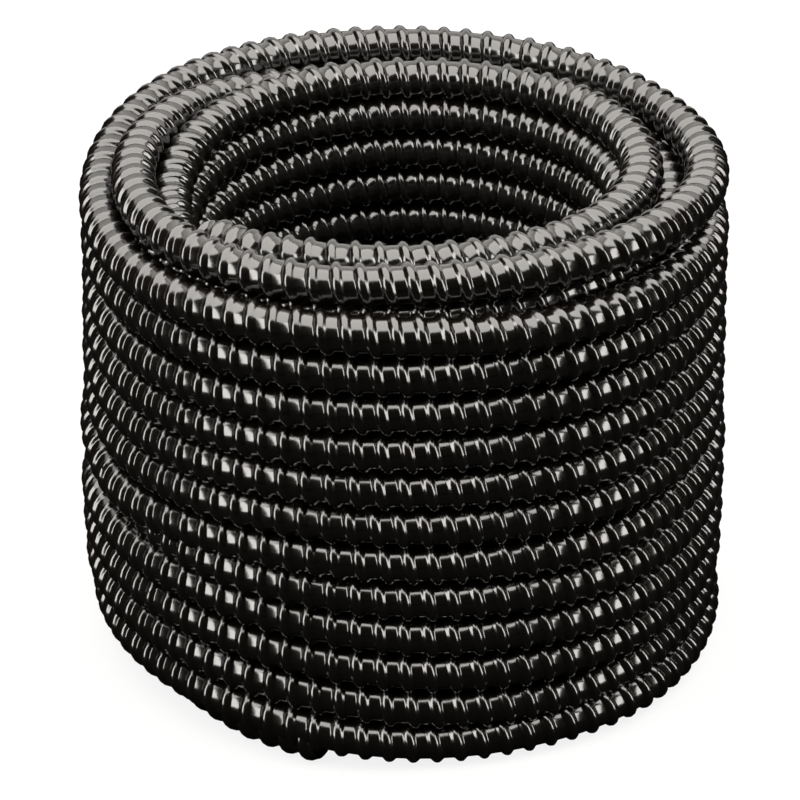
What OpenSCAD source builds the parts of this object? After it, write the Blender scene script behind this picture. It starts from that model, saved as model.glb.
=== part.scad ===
// Coil of corrugated conduit: one length of flexible tube with a raised helical rib,
// wound in three layers round an open middle, with both cut ends free.

/* [Tube] */
// Outside diameter over the rib
tube_d = 21.2; // [16:0.2:26]
// Height of the rib above the wall
rib_h = 2; // [1.2:0.1:2.6]
// Width of the rib at its foot
rib_w = 5.2; // [3:0.1:6]
// Advance of the rib in one turn round the tube
rib_pitch = 10.8; // [9:0.1:16]
// Thickness of the wall between the ribs
wall = 0.8; // [0.6:0.1:1.4]

/* [Coil] */
// Clear diameter of the open middle
opening_d = 188; // [160:1:260]
// Turns in each of the two inner layers
inner_turns = 13; // [6:1:16]
// Turns in the outer layer
outer_turns = 12; // [5:1:15]
// How far a turn of an inner layer sinks into the ribs of the one below it
inner_nest = 1.6; // [0:0.1:3]
// How far a turn of the outer layer sinks into the ribs of the one below it
outer_nest = 0.8; // [0:0.1:3]
// How far a layer sinks into the ribs of the layer inside it
layer_nest = 2.4; // [0:0.1:3]

/* [Free ends] */
// Straight length of tube at each cut end
end_len = 32; // [24:1:45]
// Where the outer end is cut, at the foot of the coil, in degrees from +X
outer_end_at = 251; // [235:1:265]
// Where the inner end is cut, at the top of the coil, in degrees from +X
inner_end_at = 213; // [195:1:230]
// How far the inner end leans in over the open middle, in degrees
inner_end_in = 20; // [16:1:26]
// How far the inner end lifts off the turn below it, in degrees
inner_end_lift = 8; // [5:1:12]
// Arc left clear in front of a cut end, in degrees
clear_arc = 15; // [12:1:20]
// Arc over which a turn climbs to the next one, in degrees
climb_arc = 26; // [22:1:40]

/* [Hidden] */
$fn = 48;

tube_r = tube_d / 2;
wall_r = tube_r - rib_h;
bore_r = wall_r - wall;

// The layers, from the inside out
INNER = 0;
MIDDLE = 1;
OUTER = 2;
layer_r = [for (k = [INNER:OUTER]) opening_d / 2 + tube_r + k * (tube_d - layer_nest)];
layer_pitch = [tube_d - inner_nest, tube_d - inner_nest, tube_d - outer_nest];
layer_turns = [inner_turns, inner_turns, outer_turns];
inner_top = inner_turns - 1;

// Radius and height of the middle of the tube, on one turn of one layer
function turn_at(layer, turn) = [layer_r[layer], tube_r + turn * layer_pitch[layer]];

// The same as a point, at an angle round the coil
function point_at(layer, turn, angle) = [
    layer_r[layer] * cos(angle),
    layer_r[layer] * sin(angle),
    turn_at(layer, turn).y
];

// The inner layer's top turn and the outer layer's bottom turn are part turns
function is_part_turn(layer, turn) =
    (layer == INNER && turn == inner_top) || (layer == OUTER && turn == 0);

// Section of the closed turns, filled between the middles of their tubes
module closed_turns_section() {
    for (layer = [INNER:OUTER], turn = [0:layer_turns[layer] - 1])
        if (!is_part_turn(layer, turn))
            translate(turn_at(layer, turn)) circle(tube_r);
    polygon([
        turn_at(INNER, 0),
        turn_at(MIDDLE, 0),
        turn_at(OUTER, 1),
        turn_at(OUTER, outer_turns - 1),
        turn_at(MIDDLE, inner_turns - 1),
        turn_at(INNER, inner_top - 1)
    ]);
}

// Straight climb from a point on one turn to a point on the turn beside it
climb_in = 1;
climb_r = tube_r - climb_in;
climb_sunk = 5;
module climb(from, to) {
    step = to - from;
    translate(from)
        rotate([0, acos(step.z / norm(step)), atan2(step.y, step.x)])
            cylinder(r = climb_r, h = norm(step) + climb_sunk);
}

// Section of what closes the groove beside a climb, as the grooves between closed turns are
groove_in = 2;
groove_out = 1;
groove_sunk = 6;
function groove_section(layer, turn, next_turn) = [
    (turn_at(MIDDLE, turn) + turn_at(layer, turn)) / 2 + [0, (next_turn - turn) * groove_in],
    (turn_at(layer, turn) + turn_at(layer, next_turn)) / 2
        + [layer == OUTER ? groove_out : -groove_out, 0],
    turn_at(MIDDLE, next_turn)
];

// Part turn that stops short of its own cut end and climbs to the turn beside it.
// way is 1 where the cut end faces counterclockwise round the coil, and -1 where clockwise.
module part_turn(layer, turn, next_turn, way, cut_at) {
    from = leaves_at(layer, way, cut_at);
    climb_from = cut_at + way * clear_arc;
    climb_to = climb_from + way * climb_arc;
    swept = 360 - abs(climb_to - from);
    rotate(way > 0 ? climb_to : from)
        rotate_extrude(angle = swept, $fn = 128) {
            translate(turn_at(layer, turn)) circle(tube_r);
            polygon([
                turn_at(layer, turn),
                turn_at(layer, next_turn),
                turn_at(MIDDLE, next_turn),
                turn_at(MIDDLE, turn)
            ]);
        }
    climb(point_at(layer, next_turn, climb_from), point_at(layer, turn, climb_to));
    rotate(way > 0 ? climb_from : climb_to - groove_sunk)
        rotate_extrude(angle = climb_arc + groove_sunk, $fn = 128)
            polygon(groove_section(layer, turn, next_turn));
}

// Section of the tube square to its run: the wall, and the rib where it crosses the section
RIB_POINTS = 5;
WALL_POINTS = 8;
rib_spread = 360 * rib_w / rib_pitch;
function rib_out(k) = wall_r + rib_h * sin(180 * k / RIB_POINTS);
module ribbed_section() {
    polygon(concat(
        [for (k = [0:RIB_POINTS]) rib_out(k) *
            [cos(rib_spread * k / RIB_POINTS), sin(rib_spread * k / RIB_POINTS)]],
        [for (k = [1:WALL_POINTS - 1])
            let (angle = rib_spread + (360 - rib_spread) * k / WALL_POINTS)
            wall_r * [cos(angle), sin(angle)]]
    ));
}

// Cut end of the tube, from the end of the coiled tube at the origin up +Z to the cut.
// The section turns with the rib, which is right-handed.
TWIST_STEPS = 10;
elbow_in = 0.5;
elbow_r = tube_r - elbow_in;
elbow_sunk = 3;
module cut_end() {
    twisted = end_len - elbow_sunk;
    difference() {
        union() {
            sphere(elbow_r);
            translate([0, 0, elbow_sunk])
                linear_extrude(twisted, twist = -360 * twisted / rib_pitch,
                    slices = ceil(TWIST_STEPS * twisted / rib_pitch),
                    segments = RIB_POINTS + WALL_POINTS)
                    ribbed_section();
        }
        translate([0, 0, elbow_sunk]) cylinder(r = bore_r, h = end_len);
    }
}

// Where the cut end of a part turn starts, at an angle round the coil
function leaves_at(layer, way, cut_at) = cut_at - way * atan(end_len / layer_r[layer]);

// Free end of a part turn: it leaves the coil straight, leaning in over the middle and lifting
module free_end(layer, turn, way, cut_at, lean_in = 0, lift = 0) {
    from = leaves_at(layer, way, cut_at);
    translate(point_at(layer, turn, from))
        rotate([0, 90 - lift, from + way * (90 + lean_in)])
            cut_end();
}

module conduit() {
    color([0.06, 0.06, 0.06]) {
        rotate_extrude($fn = 128) closed_turns_section();
        part_turn(OUTER, 0, 1, 1, outer_end_at);
        part_turn(INNER, inner_top, inner_top - 1, -1, inner_end_at);
        free_end(OUTER, 0, 1, outer_end_at);
        free_end(INNER, inner_top, -1, inner_end_at, inner_end_in, inner_end_lift);
    }
}

conduit();
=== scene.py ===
import math
import bmesh
import bpy
import numpy as np
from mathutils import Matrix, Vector


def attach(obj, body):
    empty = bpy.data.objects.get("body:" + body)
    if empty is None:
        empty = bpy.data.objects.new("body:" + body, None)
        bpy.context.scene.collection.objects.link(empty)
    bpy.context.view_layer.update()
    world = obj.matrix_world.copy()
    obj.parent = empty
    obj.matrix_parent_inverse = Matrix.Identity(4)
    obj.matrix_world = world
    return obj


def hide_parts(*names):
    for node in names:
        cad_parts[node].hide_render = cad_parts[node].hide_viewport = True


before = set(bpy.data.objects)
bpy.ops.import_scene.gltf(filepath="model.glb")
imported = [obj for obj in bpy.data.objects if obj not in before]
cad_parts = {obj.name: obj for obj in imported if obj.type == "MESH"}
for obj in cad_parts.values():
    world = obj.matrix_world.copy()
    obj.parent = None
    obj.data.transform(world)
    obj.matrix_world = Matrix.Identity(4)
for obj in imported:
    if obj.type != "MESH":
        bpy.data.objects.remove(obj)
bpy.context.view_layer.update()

# The tube: black PVC conduit, 21.2 mm over a rib that winds round it as a right-handed screw.
# It is extruded hollow, 15.6 mm inside. The rib is 2 mm high and about 5 mm wide, with a small
# fillet at each foot.
TUBE_D = 0.0212
WALL_R = 0.0086
BORE_R = 0.0078
RIB_PITCH = 0.0108
SAME_PLACE = 1e-6

# Half of the rib's section, as distance from its middle and height above the wall. The layers
# that show less have fewer points.
rib_half = [
    (0.0, 0.00200),
    (0.00108, 0.00178),
    (0.00200, 0.00106),
    (0.00262, 0.00036),
    (0.00305, 0.00008),
    (0.00345, 0.0),
]
plain_rib_half = [(0.0, 0.00200), (0.00125, 0.00165), (0.00215, 0.00070), (0.00295, 0.0)]
coarse_rib_half = [(0.0, 0.00200), (0.00165, 0.00150), (0.00260, 0.0)]


def ribbed_pitch(half, round_steps):
    """One turn of the rib with the wall and the bore under it, screwed round the Z axis."""
    bm = bmesh.new()
    outside = [(along, WALL_R + rise) for along, rise in half]
    outside += [(RIB_PITCH - along, WALL_R + rise) for along, rise in reversed(half)]
    bore = [(0.0, BORE_R), (RIB_PITCH, BORE_R)]
    for section in (outside, bore):
        verts = [bm.verts.new((radius, 0.0, along)) for along, radius in section]
        edges = [bm.edges.new(pair) for pair in zip(verts, verts[1:])]
        bmesh.ops.spin(
            bm,
            geom=verts + edges,
            cent=(0, 0, 0),
            axis=(0, 0, 1),
            dvec=(0, 0, RIB_PITCH / round_steps),
            angle=math.tau,
            steps=round_steps,
        )
    mesh = bpy.data.meshes.new("ribbed_pitch")
    bm.to_mesh(mesh)
    bm.free()
    return mesh


def straight_tube(half, round_steps, length):
    """A straight run up +Z from the origin, cut square at both ends, with its open bore."""
    spare_below, spare_above = 2, 1
    unit = bpy.data.objects.new("unit", ribbed_pitch(half, round_steps))
    bpy.context.collection.objects.link(unit)
    row = unit.modifiers.new("row", "ARRAY")
    row.count = math.ceil(length / RIB_PITCH) + spare_below + spare_above
    row.use_relative_offset = False
    row.use_constant_offset = True
    row.constant_offset_displace = (0, 0, RIB_PITCH)
    row.use_merge_vertices = True
    row.merge_threshold = SAME_PLACE
    ready = unit.evaluated_get(bpy.context.evaluated_depsgraph_get())
    bm = bmesh.new()
    bm.from_mesh(ready.to_mesh())
    ready.to_mesh_clear()
    bpy.data.objects.remove(unit)
    bmesh.ops.remove_doubles(bm, verts=bm.verts, dist=SAME_PLACE)
    bmesh.ops.translate(bm, verts=bm.verts, vec=(0, 0, -spare_below * RIB_PITCH))
    for height, up in ((0.0, -1), (length, 1)):
        bmesh.ops.bisect_plane(
            bm,
            geom=bm.verts[:] + bm.edges[:] + bm.faces[:],
            dist=SAME_PLACE / 10,
            plane_co=(0, 0, height),
            plane_no=(0, 0, up),
            clear_outer=True,
        )
        rims = [
            edge
            for edge in bm.edges
            if edge.is_boundary and all(abs(v.co.z - height) < SAME_PLACE for v in edge.verts)
        ]
        bmesh.ops.bridge_loops(bm, edges=rims)
        for edge in rims:
            edge.smooth = False
    bmesh.ops.recalc_face_normals(bm, faces=bm.faces)
    for face in bm.faces:
        face.smooth = True
    return bm


# The winding: from the cut inner end on top, down the inner layer, up the middle layer, out over
# it at the right, and down the outer layer in twelve rows to the cut end at the foot. Nothing
# but the tube's own set holds the coil, so the rows sag, spread and squeeze each other.

# Angles are degrees from +X, counted on from the inner end to the outer one. Radii and heights
# are in tube diameters.
INNER_R = 4.947
MIDDLE_R = 5.835
OUTER_R = 6.708
FLOOR = 0.5
FRONT = 270
INNER_END = 213
INNER_FOOT = 4664
MIDDLE_FOOT = 4754
MIDDLE_TOP = 8910
OUTER_TOP = 9015
OUTER_FOOT = 13230
OUTER_END = 13575
END_STRAIGHT = 13


def curve(where, *points):
    """Straight lines from point to point, each a place and the value there."""
    places, values = zip(*points)
    return np.interp(where, places, values)


def inner_layer():
    """Down the inside. The cut end on top presses down the turns that it lies on."""
    top, step = 11.51, 0.902
    press_from, press_depth, pressed_turns = 100, 0.62, 11.5
    angle = np.arange(INNER_END, INNER_FOOT)
    turn = (angle - press_from) // 360
    round_coil = (angle - press_from) % 360 + press_from
    pressed = curve(round_coil, (150, 0), (200, 1), (226, 1), (262, 0))
    pressed = pressed * press_depth * (1 - (turn - 1) / pressed_turns)
    end_dip = curve(angle, (INNER_END, 0.85), (228, 0.55), (245, 0.25), (270, 0.06))
    height = top - step * (angle - FRONT) / 360 - np.where(turn < 1, end_dip, pressed)
    spread = curve(
        angle,
        (INNER_END, 0), (290, 0.05), (320, 0.18), (360, 0.3), (400, 0.27), (450, 0.12), (490, 0.15),
        (540, 0.26), (565, 0.22), (610, 0), (820, 0), (860, 0.13), (930, 0.13), (970, 0),
    )
    return angle, INNER_R + spread, height


def middle_layer():
    """Out along the floor and up. Its turns sag round the back, and the last one spreads."""
    angle = np.arange(INNER_FOOT, MIDDLE_TOP)
    spread = curve(
        angle,
        (8690, 0), (8740, 0.12), (8780, 0.19), (8820, 0.15), (8860, 0.22), (8890, 0.18),
        (MIDDLE_TOP, 0.115),
    )
    radius = curve(angle, (INNER_FOOT, INNER_R), (MIDDLE_FOOT, MIDDLE_R)) + spread
    climb = curve(
        angle,
        (INNER_FOOT, FLOOR), (MIDDLE_FOOT, 0.55), (4854, 1.1), (4900, 1.3), (5114, 1.45),
        (5214, 2.0), (5260, 2.25), (8550, 10.63), (MIDDLE_TOP, 11.53),
    )
    sag = curve(
        (angle - FRONT) % 360,
        (0, 0), (30, 0.1), (90, 0.3), (180, 0.63), (210, 0.5), (240, 0.18), (270, 0), (360, 0),
    )
    sag_share = curve(angle, (5300, 0), (6500, 1))
    last_dip = curve(
        angle, (8780, 0), (8840, 0.16), (8870, 0.18), (8890, 0.15), (MIDDLE_TOP, 0.06)
    )
    return angle, radius, climb - last_dip - sag * sag_share


def top_crossing():
    """Outwards over the middle layer at the right."""
    angle = np.arange(MIDDLE_TOP, OUTER_TOP)
    on = angle - MIDDLE_TOP
    radius = curve(on, (0, 5.95), (30, 6.08), (60, 6.45), (75, 6.6), (90, 6.7), (105, OUTER_R))
    height = curve(
        on, (0, 11.47), (30, 11.48), (60, 11.43), (75, 11.33), (90, 11.13), (105, 11.09)
    )
    return angle, radius, height


def row_at_front(row):
    """Height of a row of the outer layer at the front. Row 1 is the top one."""
    row_one, last_row, step = 10.66, 12, 0.923
    return np.where(row < 1.5, row_one, FLOOR + (last_row - row) * step)


def outer_height(row):
    """Each row keeps its level round the left and steps down to the next one at the right."""
    above = np.floor(row)
    part = row - above
    top_turn = curve(
        part,
        (0.29, 11.09), (0.46, 11.05), (0.55, 11.05), (0.64, 11.08), (0.70, 10.9), (0.75, 10.62),
        (0.80, 10.46), (0.83, 10.4), (0.89, 10.48), (0.93, 10.6), (1, 10.66),
    )
    first_fall = curve(
        part,
        (0, 0), (0.055, 0.20), (0.111, 0.35), (0.167, 0.46), (0.25, 0.76), (0.333, 0.84),
        (0.5, 0.89), (0.75, 0.95), (1, 1),
    )
    fall = curve(
        part,
        (0, 0), (0.078, 0.033), (0.17, 0.27), (0.25, 0.5), (0.333, 0.72), (0.5, 0.85),
        (0.75, 0.93), (0.922, 0.967), (1, 1),
    )
    fall = np.where(above < 2, first_fall, fall)
    rows = row_at_front(above) + (row_at_front(above + 1) - row_at_front(above)) * fall
    height = np.where(above < 1, top_turn, rows)

    # The rows ride up at the back over the turn on the floor, and at the left over its end
    over_floor_turn = curve(
        part,
        (0, 0), (0.05, -0.06), (0.078, -0.09), (0.12, -0.03), (0.17, 0.08), (0.25, 0.27),
        (0.333, 0.5), (0.5, 0.62), (0.61, 0.42), (0.7, 0.22), (0.8, 0.1), (0.9, 0),
    )
    over_end = curve(
        part,
        (0.7, 0), (0.82, 0.17), (0.87, 0.38), (0.917, 0.4), (0.94, 0.33), (0.967, 0.2), (1, 0.03),
    )
    over_end_share = curve(
        row,
        (4, 0), (5, 0.07), (6, 0.15), (7, 0.27), (8, 0.42), (9, 0.57), (10, 0.72), (11, 0.86),
        (12, 1),
    )
    height = height + over_floor_turn * curve(row, (1, 0), (12, 1))
    height = height + over_end * over_end_share

    # The upper rows hang lower at both sides than at the front
    settle = curve(
        part,
        (0, 0), (0.056, 0.04), (0.083, 0.1), (0.125, 0.14), (0.194, 0.1), (0.25, 0.02), (0.7, 0),
        (0.778, 0.1), (0.806, 0.25), (0.85, 0.3), (0.883, 0.25), (0.917, 0.16), (0.944, 0.08),
        (0.978, 0.03), (1, 0),
    )
    settle_low = curve(
        part,
        (0, 0), (0.056, 0.04), (0.083, 0.1), (0.2, 0.13), (0.25, 0.15), (0.3, 0), (0.7, 0),
        (0.8, -0.06), (0.9, 0), (1, 0),
    )
    low_share = curve(row, (7.3, 0), (8.4, 1))
    settle_share = curve(row, (1.6, 0), (2, 1), (11.4, 1), (12, 0.2))
    height = height - (settle * (1 - low_share) + settle_low * low_share) * settle_share

    # Single places where a row is pushed up or down, as row, reach either way and rise
    for middle, reach, rise in (
        (6.81, 0.07, -0.22),
        (7.84, 0.06, 0.12),
        (8.81, 0.08, 0.15),
        (9.80, 0.08, 0.18),
        (10.80, 0.08, 0.18),
        (11.80, 0.09, 0.16),
        (9.93, 0.05, -0.08),
        (10.93, 0.05, -0.08),
        (10.19, 0.07, 0.1),
        (11.18, 0.08, 0.13),
    ):
        height = height + rise * curve(row, (middle - reach, 0), (middle, 1), (middle + reach, 0))
    return height


def outer_radius(row):
    """The lower rows bulge, and one row is squeezed in behind its neighbours at the left."""
    part = row - np.floor(row)
    squeezed_in = curve(row, (7.66, 0), (7.72, 0.4), (7.82, 0.4), (7.89, 0))
    top_turn = curve(
        row, (0.29, 0), (0.33, -0.1), (0.4, -0.06), (0.5, 0), (0.58, 0.1), (0.68, 0.09), (0.76, 0)
    )
    over_cut_end = curve(row, (11.88, 0), (11.93, 0.2), (11.96, 0.2), (12.0, 0))
    bulge = curve(
        part, (0.04, 0), (0.12, 0.1), (0.3, 0.1), (0.62, 0.1), (0.7, 0.2), (0.84, 0.18), (0.9, 0)
    )
    bulge_share = curve(
        row, (2.5, 0), (4.5, 0.3), (6.2, 0.35), (6.9, 1), (9.2, 1), (10.9, 0.7), (11.4, 0)
    )
    return OUTER_R - squeezed_in + top_turn + over_cut_end + bulge * bulge_share


def outer_layer():
    angle = np.arange(OUTER_TOP, OUTER_FOOT)
    row = (angle - MIDDLE_TOP) / 360
    return angle, outer_radius(row), outer_height(row)


def foot_turn():
    """The last turn lies on the floor and is pushed in under the row above it at the left."""
    angle = np.arange(OUTER_FOOT, OUTER_END + 1)
    on = angle - OUTER_FOOT
    radius = curve(
        on,
        (0, OUTER_R), (25, 6.74), (45, 6.92), (60, 6.9), (80, 6.8), (165, 6.76), (200, 6.55),
        (235, 6.2), (262, 6.05), (304, 6.12), (326, 6.48), (345, 7.04),
    )
    return angle, radius, curve(on, (0, 0.53), (15, FLOOR))


def eased(values):
    """The stiff tube takes no corners, so each change is spread over the degrees around it."""
    degrees = 17
    for _ in range(2):
        padded = np.pad(values, degrees // 2, "edge")
        values = np.convolve(padded, np.ones(degrees) / degrees, "valid")
    return values


layers = [inner_layer(), middle_layer(), top_crossing(), outer_layer(), foot_turn()]
wound_angle, wound_r, wound_z = (np.concatenate(values).astype(float) for values in zip(*layers))
wound_r, wound_z = eased(wound_r), eased(wound_z)
turned = np.radians(wound_angle)
middle_line = TUBE_D * np.stack(
    [wound_r * np.cos(turned), wound_r * np.sin(turned), wound_z], axis=1
)
# Both cut ends run straight
last_point = len(middle_line) - 1
for first, last in ((0, END_STRAIGHT), (last_point - END_STRAIGHT, last_point)):
    share = np.linspace(0, 1, last - first + 1)[:, None]
    middle_line[first:last + 1] = middle_line[first] * (1 - share) + middle_line[last] * share
steps_along = np.linalg.norm(np.diff(middle_line, axis=0), axis=1)
length_along = np.concatenate([[0], np.cumsum(steps_along)])


def middle_at(distance):
    """The point on the tube's middle that is this far from its inner end."""
    return np.stack([np.interp(distance, length_along, axis) for axis in middle_line.T], axis=-1)


def frame_at(distance):
    """Point on the tube's middle, with the direction out from the coil's axis and the one down."""
    reach = 0.004
    point = middle_at(distance)
    run = middle_at(distance + reach) - middle_at(distance - reach)
    run /= np.linalg.norm(run, axis=-1, keepdims=True)
    out = point * [1, 1, 0]
    out -= run * np.sum(out * run, axis=-1, keepdims=True)
    out /= np.linalg.norm(out, axis=-1, keepdims=True)
    return point, out, np.cross(run, out)


def bend_along(mesh, start):
    """Lay a straight tube on the winding, and keep each point's place on the straight one."""
    flat = np.empty(len(mesh.vertices) * 3)
    mesh.vertices.foreach_get("co", flat)
    flat = flat.reshape(-1, 3)
    distance = start + flat[:, 2]
    point, out, down = frame_at(distance)
    bent = point + out * flat[:, :1] + down * flat[:, 1:2]
    mesh.vertices.foreach_set("co", bent.ravel())
    laid = mesh.attributes.new("laid", "FLOAT_VECTOR", "POINT")
    straight = np.stack([flat[:, 0], flat[:, 1], distance], axis=1)
    laid.data.foreach_set("vector", straight.ravel())
    mesh.update()


# Glossy black PVC, as it comes off the extruder: the deep gloss is broken by a faint
# orange peel, hair-thin drawing lines along the tube, and dust and rub marks on the rib.
BARE_BLACK = (0.0030, 0.0020, 0.0011, 1)
DUSTY_BLACK = (0.014, 0.012, 0.010, 1)
DUST_COVER = 0.4
ROUGH, CLOUDS_ROUGHEN, DUST_ROUGHENS = 0.14, 0.06, 0.12
LINES_IN_RELIEF, PEEL_IN_RELIEF = 0.25, 0.75
RELIEF_DEPTH = 0.00012


class Value:
    """A shader socket that adds Math nodes when it is used in an expression."""

    def __init__(self, paint, socket):
        self.paint, self.socket = paint, socket

    def _math(self, operation, a, b):
        return self.paint.node("ShaderNodeMath", {"operation": operation}, {0: a, 1: b})

    def __add__(self, other):
        return self._math("ADD", self, other)

    def __radd__(self, other):
        return self._math("ADD", other, self)

    def __mul__(self, other):
        return self._math("MULTIPLY", self, other)

    def __rmul__(self, other):
        return self._math("MULTIPLY", other, self)


class Paint:
    """The nodes of one material or world."""

    def __init__(self, owner):
        owner.use_nodes = True
        self.owner = owner
        self.tree = owner.node_tree
        self.tree.nodes.clear()

    def node(self, kind, settings=None, inputs=None, out=0):
        node = self.tree.nodes.new(kind)
        for key, value in (settings or {}).items():
            setattr(node, key, value)
        for key, value in (inputs or {}).items():
            if isinstance(value, Value):
                self.tree.links.new(value.socket, node.inputs[key])
            else:
                node.inputs[key].default_value = value
        return Value(self, node.outputs[out]) if node.outputs else None

    def noise(self, vector, scale, detail, roughness=0.5):
        inputs = {"Vector": vector, "Scale": scale, "Detail": detail, "Roughness": roughness}
        return self.node("ShaderNodeTexNoise", {}, inputs)

    def ramp(self, value, low, high):
        return self.node(
            "ShaderNodeMapRange",
            {"interpolation_type": "SMOOTHSTEP"},
            {"Value": value, "From Min": low, "From Max": high},
        )


pvc = Paint(bpy.data.materials.new("glossy_black_pvc"))
laid = pvc.node("ShaderNodeAttribute", {"attribute_name": "laid"}, out="Vector")
place = pvc.node("ShaderNodeTexCoord", out="Object")
stretched = pvc.node("ShaderNodeMapping", {}, {"Vector": laid, "Scale": (1.0, 1.0, 0.06)})
clouds = pvc.noise(place, scale=26.0, detail=4.0, roughness=0.6)
smears = pvc.noise(laid, scale=420.0, detail=5.0, roughness=0.65)
draw_lines = pvc.noise(stretched, scale=2600.0, detail=2.0)
peel = pvc.noise(laid, scale=900.0, detail=2.0)
dust = pvc.ramp(smears, 0.52, 0.78) * pvc.ramp(clouds, 0.42, 0.66)
colour = pvc.node(
    "ShaderNodeMix",
    {"data_type": "RGBA"},
    {"Factor": dust * DUST_COVER, "A": BARE_BLACK, "B": DUSTY_BLACK},
    out="Result",
)
relief = draw_lines * LINES_IN_RELIEF + peel * PEEL_IN_RELIEF
bump = pvc.node(
    "ShaderNodeBump",
    {},
    {"Strength": 0.22, "Distance": RELIEF_DEPTH, "Height": relief},
    out="Normal",
)
surface = pvc.node(
    "ShaderNodeBsdfPrincipled",
    {},
    {
        "Base Color": colour,
        "Roughness": clouds * CLOUDS_ROUGHEN + dust * DUST_ROUGHENS + ROUGH,
        "IOR": 1.65,
        "Specular IOR Level": 1.0,
        "Normal": bump,
    },
    out="BSDF",
)
pvc.node("ShaderNodeOutputMaterial", {}, {"Surface": surface})


def distance_at(angle):
    return float(np.interp(angle, wound_angle, length_along))


def whole_pitches(distance):
    return round(distance / RIB_PITCH) * RIB_PITCH


# Name, angle where it stops, section of the rib, and steps round the tube
stretches = [
    ("inner_layer_upper", 2430, plain_rib_half, 20),
    ("inner_layer_lower", 4724, plain_rib_half, 16),
    ("middle_layer", 8520, coarse_rib_half, 14),
    ("middle_layer_top", 9100, rib_half, 24),
    ("outer_layer_top", 10260, rib_half, 22),
    ("outer_layer_upper", 11360, rib_half, 22),
    ("outer_layer_lower", 12460, rib_half, 22),
    ("outer_layer_foot", OUTER_END, rib_half, 22),
]
start = 0.0
for name, stop_angle, half, round_steps in stretches:
    stop = distance_at(stop_angle)
    if stop_angle < OUTER_END:
        stop = whole_pitches(stop)
    bm = straight_tube(half, round_steps, stop - start)
    mesh = bpy.data.meshes.new(name)
    bm.to_mesh(mesh)
    bm.free()
    bend_along(mesh, start)
    mesh.materials.append(pvc.owner)
    piece = bpy.data.objects.new(name, mesh)
    bpy.context.collection.objects.link(piece)
    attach(piece, "root")
    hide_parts("conduit")
    start = stop

# The studio: a large pale paper floor that fades into a white backdrop. Both are white only
# where they are looked at, so that they throw little light on the coil.
FLOOR_SIZE = 40.0
PAPER_GLOW = 0.85
bm = bmesh.new()
bmesh.ops.create_grid(bm, x_segments=1, y_segments=1, size=FLOOR_SIZE / 2)
floor_mesh = bpy.data.meshes.new("floor")
bm.to_mesh(floor_mesh)
bm.free()
floor = bpy.data.objects.new("floor", floor_mesh)
bpy.context.collection.objects.link(floor)
paper = Paint(bpy.data.materials.new("white_paper"))
seen = paper.node("ShaderNodeLightPath", out="Is Camera Ray")
matt = paper.node("ShaderNodeBsdfDiffuse", {}, {"Color": (0.96, 0.96, 0.96, 1)}, out="BSDF")
dim = paper.node("ShaderNodeBsdfDiffuse", {}, {"Color": (0.012, 0.012, 0.012, 1)}, out="BSDF")
glow = paper.node("ShaderNodeEmission", {}, {"Color": (1, 1, 1, 1), "Strength": 1.0})
lit = paper.node("ShaderNodeMixShader", {}, {0: PAPER_GLOW, 1: matt, 2: glow})
both = paper.node("ShaderNodeMixShader", {}, {0: seen, 1: dim, 2: lit})
paper.node("ShaderNodeOutputMaterial", {}, {"Surface": both})
floor_mesh.materials.append(paper.owner)

bpy.context.scene.world = bpy.data.worlds.new("studio")
backdrop = Paint(bpy.context.scene.world)
seen = backdrop.node("ShaderNodeLightPath", out="Is Camera Ray")
shade = backdrop.node(
    "ShaderNodeMix",
    {"data_type": "RGBA"},
    {"Factor": seen, "A": (0.02, 0.02, 0.02, 1), "B": (1, 1, 1, 1)},
    out="Result",
)
sheet = backdrop.node("ShaderNodeBackground", {}, {"Color": shade})
backdrop.node("ShaderNodeOutputWorld", {}, {"Surface": sheet})


# The lamps are rectangular softboxes: one overhead, one behind the coil, and a tall one at
# each side that stands like a window and draws the bright squares on the tube.
def softbox(name, place, aim, size, watts):
    """A soft rectangular lamp that faces the point it is aimed at."""
    data = bpy.data.lights.new(name, "AREA")
    data.shape = "RECTANGLE"
    data.size, data.size_y = size
    data.energy = watts
    data.color = (1.0, 0.965, 0.92)
    lamp = bpy.data.objects.new(name, data)
    lamp.location = place
    lamp.rotation_euler = (Vector(aim) - Vector(place)).to_track_quat("-Z", "Y").to_euler()
    bpy.context.collection.objects.link(lamp)


softbox("overhead", (0, -0.02, 1.75), (0, -0.02, 0.25), (2.9, 2.24), 72)
softbox("back_panel", (0, 2.5, 1.4), (0, 0, 0.2), (5.0, 2.4), 45)
softbox("left_window", (-1.52, -0.83, 0.90), (0, -0.02, 0.86), (0.66, 1.74), 21)
softbox("right_window", (1.72, -0.5, 0.79), (0, -0.02, 0.75), (0.62, 1.5), 16.5)

# The camera stands at the front, a little above the coil, with a long lens. The small shift
# sets the coil in the frame.
CAMERA_TARGET_Z = 0.12188
CAMERA_FAR = 2.1632
CAMERA_UP = math.radians(29.19)
camera_data = bpy.data.cameras.new("camera")
camera_data.sensor_width = 36
camera_data.lens = 202.4
camera_data.shift_x = -0.00584
camera_data.shift_y = -0.02015
camera_data.clip_end = 100
camera = bpy.data.objects.new("camera", camera_data)
camera.location = (
    0,
    -CAMERA_FAR * math.cos(CAMERA_UP),
    CAMERA_TARGET_Z + CAMERA_FAR * math.sin(CAMERA_UP),
)
camera.rotation_euler = (math.pi / 2 - CAMERA_UP, 0, 0)
bpy.context.collection.objects.link(camera)
bpy.context.scene.camera = camera
bpy.context.scene.view_settings.view_transform = "Standard"
